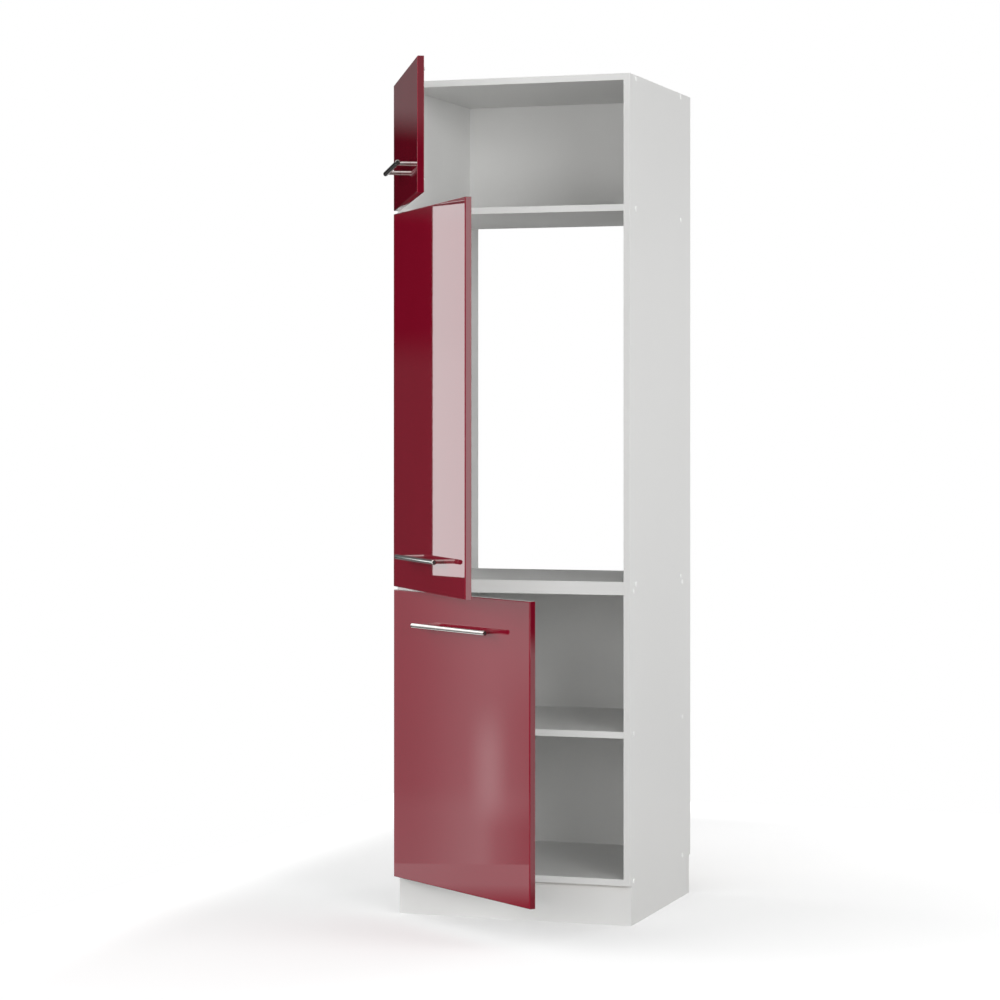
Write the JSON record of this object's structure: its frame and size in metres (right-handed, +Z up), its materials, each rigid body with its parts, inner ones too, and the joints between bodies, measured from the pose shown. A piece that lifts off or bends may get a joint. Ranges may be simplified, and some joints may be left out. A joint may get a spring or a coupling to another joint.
{
  "type": "fridge housing unit",
  "caption": "Tall kitchen cabinet that houses a built-in fridge in an open-backed niche between cupboards, with gloss doors on cup hinges and steel bar handles.",
  "frame": {"origin": "middle of the plinth board's foot, on the floor", "axes": "+X to the right as seen from the front, +Y towards the back, +Z up"},
  "size_m": [0.6084, 1.1135, 2.068],
  "materials": {
    "white_board": "satin white melamine face",
    "back_board": "satin white lacquered hardboard",
    "door_front": "high-gloss dark red",
    "handle_steel": "brushed stainless steel",
    "hinge_nickel": "nickel-plated",
    "zinc": "zinc-plated",
    "cap": "matt white",
    "buffer": "clear soft"
  },
  "bodies": {
    "carcass": {"back_panel_nails": "zinc", "bottom_shelf": "white_board", "carcass_screws": "zinc", "fridge_shelf": "white_board", "fridge_shelf_support": "white_board", "hinge_clamp_screws": "zinc", "hinge_plate_screws": "zinc", "left_side_panel": "white_board", "lower_back_panel": "back_board", "lower_hinge_arm_1": "hinge_nickel", "lower_hinge_arm_2": "hinge_nickel", "lower_hinge_plates": "hinge_nickel", "middle_hinge_arm_1": "hinge_nickel", "middle_hinge_arm_2": "hinge_nickel", "middle_hinge_arm_3": "hinge_nickel", "middle_hinge_plates": "hinge_nickel", "middle_shelf": "white_board", "plinth_board": "white_board", "plinth_brackets": "zinc", "plinth_screws": "zinc", "right_side_panel": "white_board", "screw_caps": "cap", "shelf_joining_screws": "zinc", "top_back_panel": "back_board", "top_hinge_arm_1": "hinge_nickel", "top_hinge_arm_2": "hinge_nickel", "top_hinge_plates": "hinge_nickel", "top_panel": "white_board", "upper_shelf": "white_board"},
    "lower_door": {"lower_door": "door_front", "lower_door_buffers": "buffer", "lower_handle_bar": "handle_steel", "lower_handle_posts": "handle_steel", "lower_handle_screws": "zinc", "lower_hinge_cup_1": "hinge_nickel", "lower_hinge_cup_2": "hinge_nickel", "lower_hinge_cup_screws": "zinc", "lower_hinge_pins": "hinge_nickel"},
    "middle_door": {"middle_door": "door_front", "middle_door_buffers": "buffer", "middle_handle_bar": "handle_steel", "middle_handle_posts": "handle_steel", "middle_handle_screws": "zinc", "middle_hinge_cup_1": "hinge_nickel", "middle_hinge_cup_2": "hinge_nickel", "middle_hinge_cup_3": "hinge_nickel", "middle_hinge_cup_screws": "zinc", "middle_hinge_pins": "hinge_nickel"},
    "top_door": {"top_door": "door_front", "top_door_buffers": "buffer", "top_handle_bar": "handle_steel", "top_handle_posts": "handle_steel", "top_handle_screws": "zinc", "top_hinge_cup_1": "hinge_nickel", "top_hinge_cup_2": "hinge_nickel", "top_hinge_cup_screws": "zinc", "top_hinge_pins": "hinge_nickel"}
  },
  "joints": [
    {"name": "lower_door_hinge", "type": "hinge", "parent": "carcass", "child": "lower_door", "pos_m": [-0.294, -0.0285, 0.451], "axis": [0, 0, -1], "range_deg": [-37.6, 57.4]},
    {"name": "middle_door_hinge", "type": "hinge", "parent": "carcass", "child": "middle_door", "pos_m": [-0.294, -0.0285, 1.277], "axis": [0, 0, -1], "range_deg": [-53.5, 41.5]},
    {"name": "top_door_hinge", "type": "hinge", "parent": "carcass", "child": "top_door", "pos_m": [-0.294, -0.0285, 1.903], "axis": [0, 0, -1], "range_deg": [-64.2, 30.8]}
  ]
}
